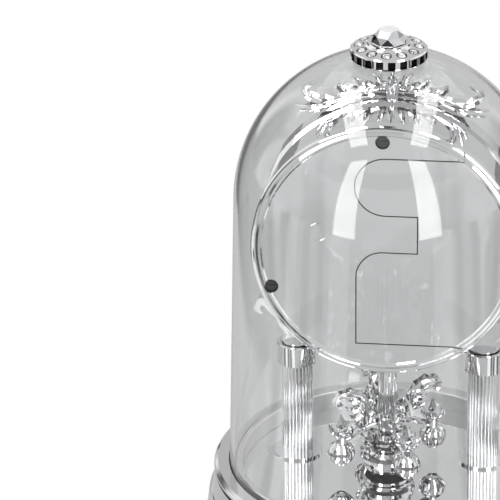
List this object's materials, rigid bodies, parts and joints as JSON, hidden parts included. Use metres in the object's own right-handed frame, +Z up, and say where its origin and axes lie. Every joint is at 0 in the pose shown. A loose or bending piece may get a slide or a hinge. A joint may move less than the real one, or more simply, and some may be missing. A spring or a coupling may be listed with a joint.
{
  "type": "bell jar desk clock",
  "caption": "Bell jar desk clock: plated round base, reeded columns, drum case with acanthus crest, turning pendulum, clear lift-off dome with crystal finial.",
  "frame": {"origin": "on the surface the clock stands on, under the middle of the base and on the pendulum's axis", "axes": "+Z up, the dial faces -Y, the back cover with its battery door faces +Y, +X to the right of a person who looks at the dial"},
  "size_m": [0.156, 0.156, 0.2287],
  "materials": {
    "plated_plastic": "moulded plastic with bright silver plating, mirror smooth",
    "mirror_sheet": "polished mirror sheet",
    "black_plastic": "fine textured black",
    "steel": "zinc plated",
    "rubber": "soft matt",
    "clear_shell": "clear, polished",
    "crystal": "cut and polished facets",
    "dial_card": "satin off-white",
    "brass": "machined",
    "black_paint": "semi-gloss black",
    "cell_jacket": "printed sleeve, left plain",
    "enamelled_wire": "wound copper wire under enamel",
    "magnet": "sintered, matt"
  },
  "bodies": {
    "clock": {"base_shell": "plated_plastic", "bottom_cover": "black_plastic", "base_screws": "steel", "rubber_feet": "rubber", "deck_plate": "mirror_sheet", "column_rings": "plated_plastic", "column_left": "plated_plastic", "column_right": "plated_plastic", "column_caps": "plated_plastic", "tie_rods": "steel", "tie_nuts": "steel", "front_frame": "plated_plastic", "crest": "plated_plastic", "bracket_left": "plated_plastic", "bracket_right": "plated_plastic", "lens": "clear_shell", "dial": "dial_card", "dial_ring": "plated_plastic", "case_drum": "plated_plastic", "back_cover": "plated_plastic", "case_screws": "steel", "movement_case": "black_plastic", "movement_back": "black_plastic", "fixing_nut": "brass", "battery_cell": "cell_jacket", "battery_contacts": "steel", "drive_housing": "black_plastic", "drive_bearing": "brass", "drive_coil": "enamelled_wire"},
    "dome": {"glass_dome": "clear_shell", "finial_setting": "plated_plastic", "finial_stones": "crystal", "finial_crystal": "crystal", "finial_screw": "steel", "finial_washer": "steel"},
    "battery_door": {"battery_door": "plated_plastic"},
    "minute": {"minute_arbor": "brass", "minute_hand": "black_paint", "hand_nut": "brass"},
    "hour": {"hour_wheel": "brass", "hour_hand": "black_paint"},
    "setting": {"minute_wheel": "brass", "set_knob": "black_plastic"},
    "pendulum": {"pendulum_spindle": "steel", "rotor_magnet": "magnet", "pendulum_rod": "plated_plastic", "hub_calyx": "plated_plastic", "calyx_leaves": "plated_plastic", "hub_cup": "plated_plastic", "arm_hub": "plated_plastic", "scroll_arm_1": "plated_plastic", "scroll_arm_2": "plated_plastic", "scroll_arm_3": "plated_plastic", "scroll_arm_4": "plated_plastic", "ball_cup_1": "plated_plastic", "ball_cup_2": "plated_plastic", "ball_cup_3": "plated_plastic", "ball_cup_4": "plated_plastic", "leaf_crowns": "plated_plastic", "pendulum_crystals": "crystal"}
  },
  "joints": [
    {"name": "dome_lift", "type": "slide", "parent": "clock", "child": "dome", "axis": [0, 0, 1], "range_m": [0, 0.17]},
    {"name": "battery_door_pull", "type": "slide", "parent": "clock", "child": "battery_door", "axis": [0, 1, 0], "range_m": [0, 0.01]},
    {"name": "pendulum_turn", "type": "hinge", "parent": "clock", "child": "pendulum", "pos_m": [0, 0, 0.09], "axis": [0, 0, 1], "range_deg": [-135, 135]},
    {"name": "set_knob_turn", "type": "hinge", "parent": "clock", "child": "setting", "pos_m": [-0.00328, 0, 0.12945], "axis": [0, 1, 0], "continuous": true},
    {"name": "minute_hand_turn", "type": "hinge", "parent": "clock", "child": "minute", "pos_m": [0, 0, 0.13847], "axis": [0, 1, 0], "continuous": true},
    {"name": "hour_hand_turn", "type": "hinge", "parent": "clock", "child": "hour", "pos_m": [0, 0, 0.13847], "axis": [0, 1, 0], "continuous": true}
  ],
  "couplings": [
    {"joint": "set_knob_turn", "follows": "minute_hand_turn", "ratio": -0.33333},
    {"joint": "hour_hand_turn", "follows": "minute_hand_turn", "ratio": 0.083333}
  ]
}
